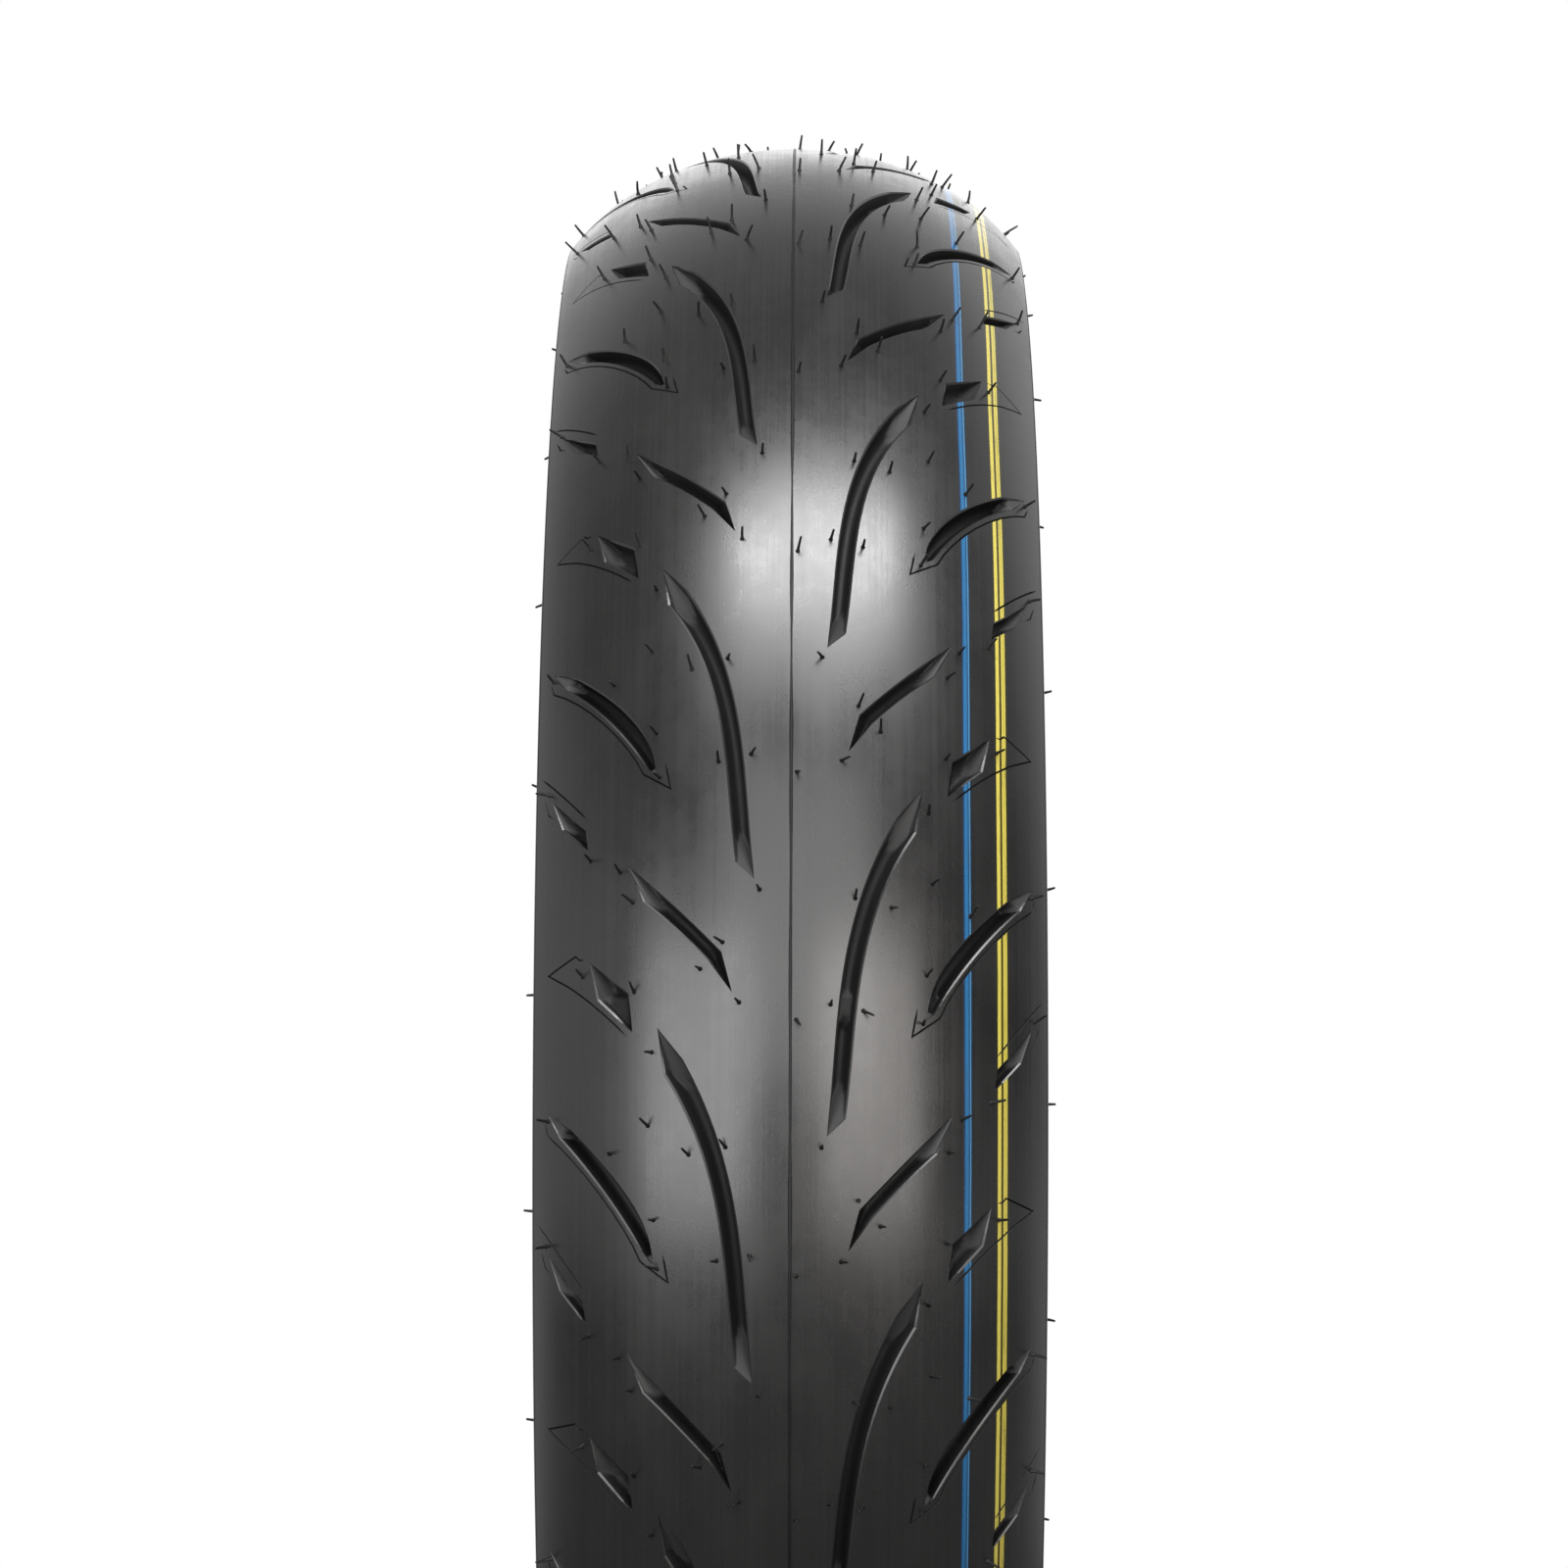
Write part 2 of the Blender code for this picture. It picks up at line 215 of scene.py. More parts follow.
def groove_list():
    """The grooves of one pitch: tips, edges, depth and the slopes at their two ends.

    A slope has its length, its depth, how much painted light pales it, and whether it falls along the
    groove or square to the end edge. The tone says how much painted light pales the rest of the groove.
    The lift is in pitches.
    """
    return [
        {
            "name": "main", "depth": 0.0065, "lift": 0, "first": (0.511, 1.145), "second": (0.140, 0.437),
            "lower": bezier([(0.487, 1.052), (0.234, 0.849), (0.264, 0.660), (0.213, 0.472)], CURVE_STEPS),
            "upper": bezier([(0.410, 1.080), (0.192, 0.880), (0.183, 0.700), (0.156, 0.525)], CURVE_STEPS),
            "slopes": ((0.018, 0.0060, 0.45, "along"), (0.0075, 0.0065, 0.45, "edge")), "tone": 0.11,
        },
        {
            "name": "diagonal", "depth": 0.006, "lift": 1, "first": (0.632, 0.483), "second": (0.223, 0.211),
            "lower": bezier([(0.567, 0.401), (0.441, 0.345), (0.315, 0.275)], CURVE_STEPS // 2),
            "upper": bezier([(0.550, 0.441), (0.408, 0.370), (0.265, 0.293)], CURVE_STEPS // 2),
            "slopes": ((0.0029, 0.0060, 1.0, "edge"), (0.0025, 0.0060, 0.05, "edge")), "tone": 0.12,
        },
        {
            "name": "crescent", "depth": 0.005, "lift": 0, "first": (0.944, 0.971), "second": (0.520, 0.668),
            "lower": bezier([(0.895, 0.917), (0.775, 0.850), (0.640, 0.758), (0.560, 0.684)], CURVE_STEPS),
            "upper": bezier([(0.845, 0.935), (0.700, 0.857), (0.548, 0.778), (0.529, 0.690)], CURVE_STEPS),
            "slopes": ((0.0095, 0.0009, 0.6, "along"), (0.0030, 0.0012, 0.6, "along")), "tone": 0.0,
        },
        {
            "name": "diamond", "depth": 0.0045, "lift": 1, "first": (0.778, 0.287), "second": (0.608, 0.136),
            "lower": [(0.748, 0.207)], "upper": [(0.623, 0.217)],
            "slopes": ((0.0038, 0.0045, 0.25, "edge"), (0.0022, 0.0045, 0.0, "edge")), "tone": 0.06,
        },
        {
            "name": "notch", "depth": 0.003, "lift": 0, "first": (0.938, 0.661), "second": (0.790, 0.528),
            "lower": [(0.895, 0.588)], "upper": [(0.801, 0.574)],
            "slopes": ((0.0026, 0.0030, 0.35, "edge"), (0.0015, 0.0030, 0.0, "edge")), "tone": 0.0,
        },
    ]


def engraved_lines():
    """Fine lines that frame the shoulder grooves of one pitch, with the pitch that each is lifted by."""
    crescent = [Vector((0.955, 0.950))]
    crescent += bezier([(0.942, 0.921), (0.820, 0.866), (0.634, 0.749), (0.576, 0.674)], CURVE_STEPS // 2)
    crescent += [Vector((0.468, 0.635)), Vector((0.489, 0.694))]
    diamond = [Vector((0.798, 0.294)), Vector((0.820, 0.294))]
    diamond += [Vector((0.835, 0.303)), Vector((0.943, 0.269))]
    diamond += bezier([(0.861, 0.239), (0.750, 0.193), (0.627, 0.127)], CURVE_STEPS // 2)
    long_notch = bezier([(0.985, 0.727), (0.890, 0.660), (0.795, 0.597)], CURVE_STEPS // 4)
    short_notch = [Vector((0.969, 0.669)), Vector((0.953, 0.633)), Vector((0.928, 0.617))]
    return [(crescent, 0), (diamond, 1), (long_notch, 0), (short_notch, 0)]


def ledge_outlines():
    """The strips between the crescents and their engraved lines, which the painted lines leave bare."""
    crescent = [groove for groove in groove_list() if groove["name"] == "crescent"][0]
    line, lift = engraved_lines()[0]
    outline = line + [crescent["second"]] + crescent["lower"][::-1] + [crescent["first"]]
    return [[patterned(point, side, lift) for point in outline] for side in (-1, 1)]


def border_path(side):
    """A line from the centre to the tread's edge that meets no groove."""
    path = [(0, 0.40), (0.20, 0.40), (0.40, 0.42), (0.65, 0.525), (0.79, 0.47), (0.90, 0.53), BORDER_END]
    return divided([flat(point, side) for point in path], POINT_SPACING)


class Tread:
    """Collects the points and faces of the whole tread, one pitch after another."""

    def __init__(self):
        self.points = []
        self.cuts = []
        self.painted_lights = []
        self.faces = []
        self.kinds = []
        self.normals = {}
        self.found = {}

    def point(self, place, cut, painted_light=0.0):
        """A point's number, its cut depth and its share of painted light; one place has one point."""
        cells = [(math.floor(value / WELD), round(value / WELD)) for value in place]
        choices = [(low, low + 1 if near > low else low - 1) for low, near in cells]
        for key in product(*choices):
            number = self.found.get(key)
            if number is not None and (self.points[number] - place).length < WELD / 2:
                return number
        self.found[tuple(low for low, near in cells)] = len(self.points)
        self.points.append(place)
        self.cuts.append(cut)
        self.painted_lights.append(painted_light)
        return len(self.points) - 1

    def face(self, corners, kind):
        """A face of the numbered points, left out where they are not three different ones.

        The kind says how it is shaded: "top" and "ledge" like the smooth tread, "edge" flat, "groove" like
        the net of its groove, and "line" and "plain" by its neighbours.
        """
        kept = []
        for corner in corners:
            if corner not in kept:
                kept.append(corner)
        if len(kept) > 2:
            self.faces.append(kept)
            self.kinds.append(kind)


def at_reach(points, start, way, reach):
    """The point of a line that lies at a reach from the start, measured along the way."""
    for a, b in zip(points, points[1:]):
        low = (a - start).dot(way)
        high = (b - start).dot(way)
        if low <= reach <= high and high > low:
            return a.lerp(b, (reach - low) / (high - low))
    return points[-1].copy() if reach > 0 else points[0].copy()


def end_way(tip, corners, inner, other_tip, fall):
    """The way that the slope at the end of a groove goes down from the tip."""
    way = (inner - tip).normalized()
    if fall == "along":
        return way
    edges = [(corner - tip).normalized() for corner in corners]
    edge = min(edges, key=(other_tip - tip).dot)
    square = Vector((-edge.y, edge.x))
    return square if square.dot(way) > 0 else -square


def slope_depth(reach, length, drop):
    """The depth that a slope allows at a reach from the tip; past its length it ends in a steep step."""
    if reach < length:
        return drop * max(0.0, reach) / length
    return drop + STEP_DROP * (reach - length) / STEP_LENGTH


def groove_shape(groove, side):
    """Matching points on the two long edges of a groove on the flat tread, and the slopes of its ends."""
    lift = groove["lift"]
    first = patterned(groove["first"], side, lift)
    second = patterned(groove["second"], side, lift)
    lower = [first] + [patterned(point, side, lift) for point in groove["lower"]] + [second]
    upper = [first] + [patterned(point, side, lift) for point in groove["upper"]] + [second]
    way = (second - first).normalized()
    breaks = [0.0, (second - first).length]
    for corner in (lower[1], lower[-2], upper[1], upper[-2]):
        breaks.append((corner - first).dot(way))
    reaches = divided([Vector((reach, 0)) for reach in sorted(set(breaks))], GROOVE_SPACING)
    low = [at_reach(lower, first, way, reach.x) for reach in reaches]
    high = [at_reach(upper, first, way, reach.x) for reach in reaches]
    quarter = len(low) // 4
    ends = (
        (first, (lower[1], upper[1]), quarter, second),
        (second, (lower[-2], upper[-2]), -quarter - 1, first),
    )
    slopes = []
    for (tip, corners, number, other_tip), (length, drop, tone, fall) in zip(ends, groove["slopes"]):
        inner = low[number].lerp(high[number], 0.5)
        slopes.append((tip, end_way(tip, corners, inner, other_tip, fall), length, drop, tone))
    return low, high, slopes


def line_shape(points, lift, side):
    """The rim of an engraved line on the flat tread and the points of its bottom."""
    middle = divided([patterned(point, side, lift) for point in points], POINT_SPACING)
    left = []
    right = []
    for number in range(1, len(middle) - 1):
        before = (middle[number] - middle[number - 1]).normalized()
        after = (middle[number + 1] - middle[number]).normalized()
        across = Vector((-before.y - after.y, before.x + after.x)).normalized()
        reach = LINE_HALF_WIDTH / max(LEAST_MITRE, across.dot(Vector((-after.y, after.x))))
        left.append(middle[number] + across * reach)
        right.append(middle[number] - across * reach)
    rim = [middle[0]] + left + [middle[-1]] + right[::-1]
    return rim, middle


def inside(point, outline):
    """Whether a point lies inside an outline."""
    odd = False
    for a, b in zip(outline, outline[1:] + outline[:1]):
        if (a.y > point.y) != (b.y > point.y):
            crossing = a.x + (point.y - a.y) / (b.y - a.y) * (b.x - a.x)
            if crossing > point.x:
                odd = not odd
    return odd


def turns_left(outline):
    """Whether an outline runs anticlockwise."""
    area = 0.0
    for a, b in zip(outline, outline[1:] + outline[:1]):
        area += a.x * b.y - b.x * a.y
    return area > 0


def clear_of(point, segments):
    """Whether a point keeps its distance from all the segments."""
    for a, b in segments:
        if abs(a.x - point.x) > NEARBY or abs(a.y - point.y) > NEARBY:
            continue
        share = intersect_point_line(point, a, b)[1]
        near = a.lerp(b, max(0.0, min(1.0, share)))
        if (near - point).length < KEEP_CLEAR:
            return False
    return True


def pitch_outline():
    """The outline of one pitch of the flat tread."""
    pitch = Vector((0, PITCH_LENGTH))
    left = border_path(-1)
    right = border_path(1)
    spacing = PITCH_LENGTH / STEPS_PER_PITCH * SPACING_SLACK
    low = left[::-1] + divided([left[0], right[0]], spacing)[1:-1] + right
    high = [point + pitch for point in low]
    right_edge = divided([low[-1], high[-1]], spacing)[1:-1]
    left_edge = divided([high[0], low[0]], spacing)[1:-1]
    return low + right_edge + high[::-1] + left_edge


def pitch_layout():
    """Triangles of the plain surface of one pitch, with the shapes of its grooves and lines."""
    grooves = []
    lines = []
    for side in (-1, 1):
        for groove in groove_list():
            grooves.append((groove, groove_shape(groove, side)))
        for points, lift in engraved_lines():
            lines.append(line_shape(points, lift, side))
    outline = pitch_outline()
    loops = [outline]
    for groove, (lower, upper, slopes) in grooves:
        loops.append(lower + upper[-2:0:-1])
    loops += [rim for rim, middle in lines]
    points = []
    loop_numbers = []
    segments = []
    for loop in loops:
        numbers = list(range(len(points), len(points) + len(loop)))
        loop_numbers.append(numbers if turns_left(loop) else numbers[::-1])
        points += loop
        segments += list(zip(loop, loop[1:] + loop[:1]))
    lowest = min(point.y for point in outline)
    highest = max(point.y for point in outline)
    row_height = PITCH_LENGTH / STEPS_PER_PITCH
    rows = math.ceil((highest - lowest) / row_height)
    column = ACROSS_SCALE * EDGE_ANGLE / ACROSS_STEPS
    for row in range(rows + 1):
        for step in range(-ACROSS_STEPS + 1, ACROSS_STEPS):
            point = Vector((step * column, lowest + row * row_height))
            if inside(point, outline) and clear_of(point, segments):
                points.append(point)
    places, _, faces, _, _, first_faces = delaunay_2d_cdt(points, [], loop_numbers, 1, MESH_WELD, True)
    ledges = ledge_outlines()
    kept = []
    for face, owners in zip(faces, first_faces):
        if owners == [0]:
            middle = sum((places[corner] for corner in face), Vector((0, 0))) / len(face)
            bare = any(inside(middle, ledge) for ledge in ledges)
            kept.append((face, "ledge" if bare else "top"))
    return places, kept, grooves, lines


def section(half, depth):
    """Steps from a groove's edge to its middle, as the share of the width and the depth there."""
    chamfer = min(CHAMFER_WIDTH / max(half, LEAST_WIDTH), CHAMFER_MOST)
    steps = [(0.0, 0.0), (chamfer / 2, CHAMFER_DEPTH)]
    for share in WALL_STEPS:
        steps.append((share / 2, depth * (1 - (1 - share) ** WALL_POWER)))
    return steps


def bar_depth(place, depth):
    """The depth that the wear bars allow at a place."""
    spacing = 2 * math.pi / BAR_COUNT
    away = abs((turn_of(place) - BAR_TURN + spacing / 2) % spacing - spacing / 2) * CROWN_RADIUS
    return depth - BAR_HEIGHT if away < BAR_HALF_LENGTH and depth > BAR_LEAST_DEPTH else depth


def add_groove(tread, shift, groove, shape):
    """The walls and the floor of one groove, as a net of points between its long edges."""
    lower, upper, slopes = shape
    depth = groove["depth"]
    net = []
    for low, high in zip(lower, upper):
        steps = section((high - low).length / 2, depth)
        steps += [(1 - share, down) for share, down in reversed(steps[:-1])]
        row = []
        for share, down in steps:
            place = low.lerp(high, share)
            # Painted light: the groove's tone, or a slope's tone near its tip, pales the dark groove colour.
            painted_light = groove["tone"]
            for tip, way, length, drop, tone in slopes:
                reach = (place - tip).dot(way)
                allowed = slope_depth(reach, length, drop)
                if allowed < down:
                    down = allowed
                    painted_light = tone if reach < length else painted_light
            down = min(down, bar_depth(place + shift, depth))
            row.append(tread.point(wrap(place + shift, down), down / depth, painted_light))
        net.append(row)
    last = len(net[0]) - 2
    for row, after in zip(net, net[1:]):
        for number in range(last + 1):
            kind = "edge" if number in (0, last) else "groove"
            tread.face([row[number], row[number + 1], after[number + 1], after[number]], kind)
    for before, row, after in zip(net, net[1:], net[2:]):
        for number in range(1, len(row) - 1):
            here = tread.points[row[number]]
            along = tread.points[after[number]] - tread.points[before[number]]
            across = tread.points[row[number + 1]] - tread.points[row[number - 1]]
            normal = along.cross(across).normalized()
            if normal.dot(surface_normal(here)) < 0:
                normal.negate()
            tread.normals[row[number]] = normal


def add_line(tread, shift, rim, middle):
    """The two sides of an engraved line."""
    total = len(rim)
    last = len(middle) - 1
    top = [tread.point(wrap(point + shift, 0.0), 0.0) for point in rim]
    low = [top[0]]
    for point in middle[1:-1]:
        low.append(tread.point(wrap(point + shift, LINE_DEPTH), LINE_CUT))
    low.append(top[last])
    for number in range(last):
        partner = (total - number) % total
        next_partner = (total - number - 1) % total
        tread.face([top[number], top[number + 1], low[number + 1], low[number]], "line")
        tread.face([low[number], low[number + 1], top[next_partner], top[partner]], "line")


def add_inside(tread):
    """The tread's edges and its underside, so that it is closed."""
    start = flat(BORDER_END, -1).y
    columns = [(-EDGE_ANGLE, 0.0), (-EDGE_ANGLE, EDGE_HEIGHT)]
    for step in range(-INSIDE_STEPS, INSIDE_STEPS + 1):
        columns.append((step / INSIDE_STEPS * EDGE_ANGLE, TREAD_THICKNESS))
    columns += [(EDGE_ANGLE, EDGE_HEIGHT), (EDGE_ANGLE, 0.0)]
    rows = []
    for step in range(RING_STEPS):
        along = start + step * PITCH_LENGTH / STEPS_PER_PITCH
        row = []
        for angle, depth in columns:
            place = wrap(Vector((angle * ACROSS_SCALE, along)), depth)
            row.append(tread.point(place, 0.0))
        rows.append(row)
    for row, after in zip(rows, rows[1:] + rows[:1]):
        for number in range(len(columns) - 1):
            tread.face([row[number], after[number], after[number + 1], row[number + 1]], "plain")


def finished_mesh(name, points, faces):
    """A new object from points and faces."""
    mesh = bpy.data.meshes.new(name)
    mesh.from_pydata(points, [], faces)
    mesh.validate()
    piece = bpy.data.objects.new(name, mesh)
    bpy.context.collection.objects.link(piece)
    return piece


def turn_outward(piece):
    """Makes all faces of a closed piece look outward."""
    shape = bmesh.new()
    shape.from_mesh(piece.data)
    bmesh.ops.recalc_face_normals(shape, faces=shape.faces)
    shape.to_mesh(piece.data)
    shape.free()


def smooth(piece):
    """Shades a piece smoothly, but for its sharp edges."""
    piece.data.shade_smooth()
    piece.data.set_sharp_from_angle(angle=SHARP_ANGLE)


def build_tread():
    """The whole tread as one piece."""
    tread = Tread()
    places, surface, grooves, lines = pitch_layout()
    for pitch in range(PITCHES):
        shift = Vector((0, pitch * PITCH_LENGTH))
        for face, kind in surface:
            tread.face([tread.point(wrap(places[corner] + shift, 0.0), 0.0) for corner in face], kind)
        for groove, shape in grooves:
            add_groove(tread, shift, groove, shape)
        for rim, middle in lines:
            add_line(tread, shift, rim, middle)
    add_inside(tread)
    piece = finished_mesh("tread", tread.points, tread.faces)
    mesh = piece.data
    for name, values in (("cut", tread.cuts), ("painted_light", tread.painted_lights)):
        mesh.attributes.new(name, "FLOAT", "POINT").data.foreach_set("value", values)
    turn_outward(piece)
    smooth(piece)
    for material in (tread_paint, groove_shade_paint, edge_paint, ledge_paint):
        mesh.materials.append(material)
    # Grooves and engraved lines take the groove rubber, whose darker colour is painted shade.
    material_of = {"top": 0, "plain": 0, "groove": 1, "line": 1, "edge": 2, "ledge": 3}
    normals = []
    for polygon in mesh.polygons:
        kind = tread.kinds[polygon.index]
        polygon.material_index = material_of[kind]
        for corner in polygon.vertices:
            if kind in ("plain", "line"):
                normals.append(Vector((0, 0, 0)))
            elif kind == "edge":
                normals.append(polygon.normal)
            elif kind == "groove" and corner in tread.normals:
                normals.append(tread.normals[corner])
            else:
                normals.append(surface_normal(mesh.vertices[corner].co))
    mesh.normals_split_custom_set(normals)
    return piece


# Rings turned about the axle.

def ring_faces(steps, count):
    """Faces that join the points of closed outlines, each with its count of points, all round the axle."""
    faces = []
    for step in range(steps):
        here = step * count
        after = (step + 1) % steps * count
        for number in range(count):
            follow = (number + 1) % count
            faces.append((here + number, after + number, after + follow, here + follow))
    return faces


def ring(name, outline, steps=RING_STEPS // 2):
    """A closed outline of (across, radius) points turned about the axle."""
    points = []
    for forward, upward in circle(steps):
        for across, radius in outline:
            points.append((radius * forward, across, radius * upward))
    piece = finished_mesh(name, points, ring_faces(steps, len(outline)))
    turn_outward(piece)
    smooth(piece)
    return piece


def solid_outline(node):
    """The outline of a solid of the frame in the plane of the axle and X, to the micrometre."""
    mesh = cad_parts[node].data
    flat_points = {}
    for vertex in mesh.vertices:
        if abs(vertex.co.z) < PLANE_REACH and vertex.co.x > 0:
            flat_points[vertex.index] = (round(vertex.co.y, 6), round(vertex.co.x, 6))
    joined = {}
    for edge in mesh.edges:
        a, b = edge.vertices
        if a in flat_points and b in flat_points and flat_points[a] != flat_points[b]:
            joined.setdefault(flat_points[a], set()).add(flat_points[b])
            joined.setdefault(flat_points[b], set()).add(flat_points[a])
    start = min(joined)
    outline = [start]
    before = None
    while True:
        here = outline[-1]
        follow = [point for point in sorted(joined[here]) if point != before]
        before = here
        if follow[0] == start or len(outline) > len(joined):
            return outline
        outline.append(follow[0])


# Materials. Colours are (red, green, blue, 1) and depths are in metres. The painted stripes wander, have
# blurred edges and reach into a groove down to a share of its depth.

GRAIN_DEPTH = 0.000018
STREAK_DEPTH = 0.000009
CORD_DEPTH = 0.0002
WIRE_DEPTH = 0.0003
RIB_DEPTH = 0.00035
WEAVE_DEPTH = 0.00015
STRIPE_WANDER = 0.00015
STRIPE_BLUR = 0.00008
STRIPE_REACH = 0.04

# Looks of rubber are its dark and light colours, roughness and shine. Those of cord are its colours and the
# spacing of the threads.
TREAD_LOOK = ((0.0100, 0.0098, 0.0096, 1), (0.0165, 0.0161, 0.0157, 1), 0.27, 1.0)
BASE_LOOK = ((0.030, 0.027, 0.024, 1), (0.055, 0.048, 0.042, 1), 0.65, 0.4)
FILLER_LOOK = ((0.028, 0.028, 0.032, 1), (0.045, 0.045, 0.050, 1), 0.6, 0.4)
BELT_LOOK = ((0.05, 0.04, 0.03, 1), (0.36, 0.28, 0.13, 1), 0.0011)
PLY_LOOK = ((0.06, 0.05, 0.04, 1), (0.38, 0.33, 0.26, 1), 0.0010)
BELT_SLANT = math.radians(22)
PLY_SLANT = math.radians(85)
LINER_SLANT = math.radians(62)


def grey(level):
    """A colour without a tint."""
    return level, level, level, 1


class Nodes:
    """Adds nodes to the tree of a material or a world, and links them."""

    def __init__(self, owner):
        owner.use_nodes = True
        self.tree = owner.node_tree
        self.tree.nodes.clear()

    def node(self, kind, **inputs):
        """A new node of a kind, with its inputs linked or set."""
        node = self.tree.nodes.new(kind)
        for name, value in inputs.items():
            self.join(value, node.inputs[name])
        return node

    def join(self, value, socket):
        """Links a socket to another, or sets it to a plain value."""
        if isinstance(value, bpy.types.NodeSocket):
            self.tree.links.new(value, socket)
        else:
            socket.default_value = value

    def math(self, operation, a, b=0.0):
        """The result of an operation on two values."""
        node = self.node("ShaderNodeMath")
        node.operation = operation
        self.join(a, node.inputs[0])
        self.join(b, node.inputs[1])
        return node.outputs[0]

    def fit(self, value, low, high, to_low, to_high):
        """A value taken smoothly from one range into another."""
        node = self.node("ShaderNodeMapRange")
        node.interpolation_type = "SMOOTHSTEP"
        names = ("Value", "From Min", "From Max", "To Min", "To Max")
        for name, setting in zip(names, (value, low, high, to_low, to_high)):
            self.join(setting, node.inputs[name])
        return node.outputs[0]

    def seen(self, path):
        """1 for what the camera sees, also through see-through things, and 0 for light."""
        return self.math("MAXIMUM", path.outputs["Is Camera Ray"], path.outputs["Is Transmission Ray"])


class Paint(Nodes):
    """Builds one material. The place on the tyre is the object's own coordinate."""

    def __init__(self, name):
        self.material = bpy.data.materials.new(name)
        super().__init__(self.material)
        self.output = self.node("ShaderNodeOutputMaterial")
        self.shader = self.node("ShaderNodeBsdfPrincipled")
        self.join(self.shader.outputs["BSDF"], self.output.inputs["Surface"])
        self.place = self.node("ShaderNodeTexCoord").outputs["Object"]
        split = self.node("ShaderNodeSeparateXYZ")
        self.join(self.place, split.inputs[0])
        self.x, self.y, self.z = split.outputs
        self.wandering = None

    def set(self, name, value):
        """Links or sets one input of the material's shader."""
        self.join(value, self.shader.inputs[name])

    def scaled(self, across, around):
        """The place on the tyre, stretched differently across it and around it."""
        return self.node("ShaderNodeMapping", Vector=self.place, Scale=(around, across, around)).outputs[0]

    def unrolled(self, turn_by=0.0):
        """The way around the tyre and across it in metres, laid flat and turned by an angle."""
        around = self.math("MULTIPLY", self.math("ARCTAN2", self.z, self.x), CROWN_RADIUS)
        place = self.node("ShaderNodeCombineXYZ", X=around, Y=self.y).outputs[0]
        return self.node("ShaderNodeMapping", Vector=place, Rotation=(0, 0, turn_by)).outputs[0]

    def noise(self, vector, scale, detail):
        """Random blotches."""
        return self.node("ShaderNodeTexNoise", Vector=vector, Scale=scale, Detail=detail).outputs[0]

    def wave(self, vector, scale, direction):
        """Parallel waves."""
        node = self.node("ShaderNodeTexWave", Vector=vector, Scale=scale)
        node.bands_direction = direction
        return node.outputs[1]

    def blend(self, share, a, b):
        """One colour blended into another."""
        node = self.node("ShaderNodeMix")
        node.data_type = "RGBA"
        self.join(share, node.inputs[0])
        self.join(a, node.inputs[6])
        self.join(b, node.inputs[7])
        return node.outputs[2]

    def attribute(self, name):
        """A value that the points of the mesh carry."""
        node = self.node("ShaderNodeAttribute")
        node.attribute_name = name
        return node.outputs["Fac"]

    def bump(self, height, distance, under=None):
        """A surface direction bent by heights, on top of another such direction."""
        node = self.node("ShaderNodeBump", Height=height, Distance=distance)
        if under is not None:
            self.join(under, node.inputs["Normal"])
        return node.outputs[0]

    def band(self, start, end, soft):
        """1 between two places across the tyre and 0 elsewhere, on a line that wanders a little."""
        if self.wandering is None:
            wander = self.fit(self.noise(self.place, 11, 2), 0.3, 0.7, -STRIPE_WANDER, STRIPE_WANDER)
            self.wandering = self.math("ADD", self.y, wander)
        rise = self.fit(self.wandering, start - soft, start + soft, 0, 1)
        fall = self.fit(self.wandering, end - soft, end + soft, 1, 0)
        return self.math("MULTIPLY", rise, fall)


def rubber(name, dark, light, roughness, shine):
    """Moulded rubber with fine streaks around the tyre, faint blotches and a fine grain."""
    paint = Paint(name)
    streaks = paint.noise(paint.scaled(1100, 5), 1.0, 3)
    blotches = paint.noise(paint.scaled(60, 30), 1.0, 6)
    smudges = paint.noise(paint.place, 240, 2)
    grain = paint.noise(paint.place, 1800, 2)
    streak_tone = paint.fit(streaks, 0.25, 0.75, 0.3, 1)
    tone = paint.math("MULTIPLY", streak_tone, paint.fit(blotches, 0.25, 0.75, 0.3, 1))
    paint.colour = paint.blend(tone, dark, light)
    mixed = paint.math("ADD", paint.math("MULTIPLY", streaks, 0.5), blotches)
    mixed = paint.math("ADD", mixed, paint.math("MULTIPLY", smudges, 0.35))
    paint.normal = paint.bump(grain, GRAIN_DEPTH, paint.bump(streaks, STREAK_DEPTH))
    paint.set("Specular IOR Level", shine)
    paint.set("Base Color", paint.colour)
    paint.set("Roughness", paint.fit(mixed, 0.55, 1.30, roughness - 0.04, roughness + 0.06))
    paint.set("Normal", paint.normal)
    return paint


def tread_rubber():
    """Tread rubber with the painted lines that mark the tread strip, one blue and one yellow."""
    paint = rubber("tread_rubber", *TREAD_LOOK)
    top = paint.fit(paint.attribute("cut"), 0.0, STRIPE_REACH, 1, 0)
    worn = paint.fit(paint.noise(paint.scaled(1500, 60), 1.0, 3), 0.28, 0.42, 0.6, 1)
    cover = paint.math("MULTIPLY", top, worn)
    colour = paint.colour
    bands = (
        (0.0492, 0.0496, (0.006, 0.028, 0.085, 1)), (0.0496, 0.0507, (0.016, 0.135, 0.310, 1)),
        (0.0507, 0.0510, (0.006, 0.040, 0.120, 1)), (0.0510, 0.0514, (0.065, 0.230, 0.410, 1)),
        (0.0514, 0.0518, (0.003, 0.014, 0.036, 1)), (0.0587, 0.0591, (0.022, 0.018, 0.005, 1)),
        (0.0591, 0.06012, (0.640, 0.550, 0.095, 1)), (0.06012, 0.06075, (0.060, 0.043, 0.003, 1)),
        (0.06075, 0.0619, (0.620, 0.530, 0.085, 1)), (0.0613, 0.06142, (0.200, 0.160, 0.020, 1)),
        (0.0619, 0.0623, (0.034, 0.028, 0.003, 1)),
    )
    for start, end, tone in bands:
        share = paint.math("MULTIPLY", cover, paint.band(start, end, STRIPE_BLUR))
        colour = paint.blend(share, colour, tone)
    paint.set("Base Color", colour)
    return paint.material


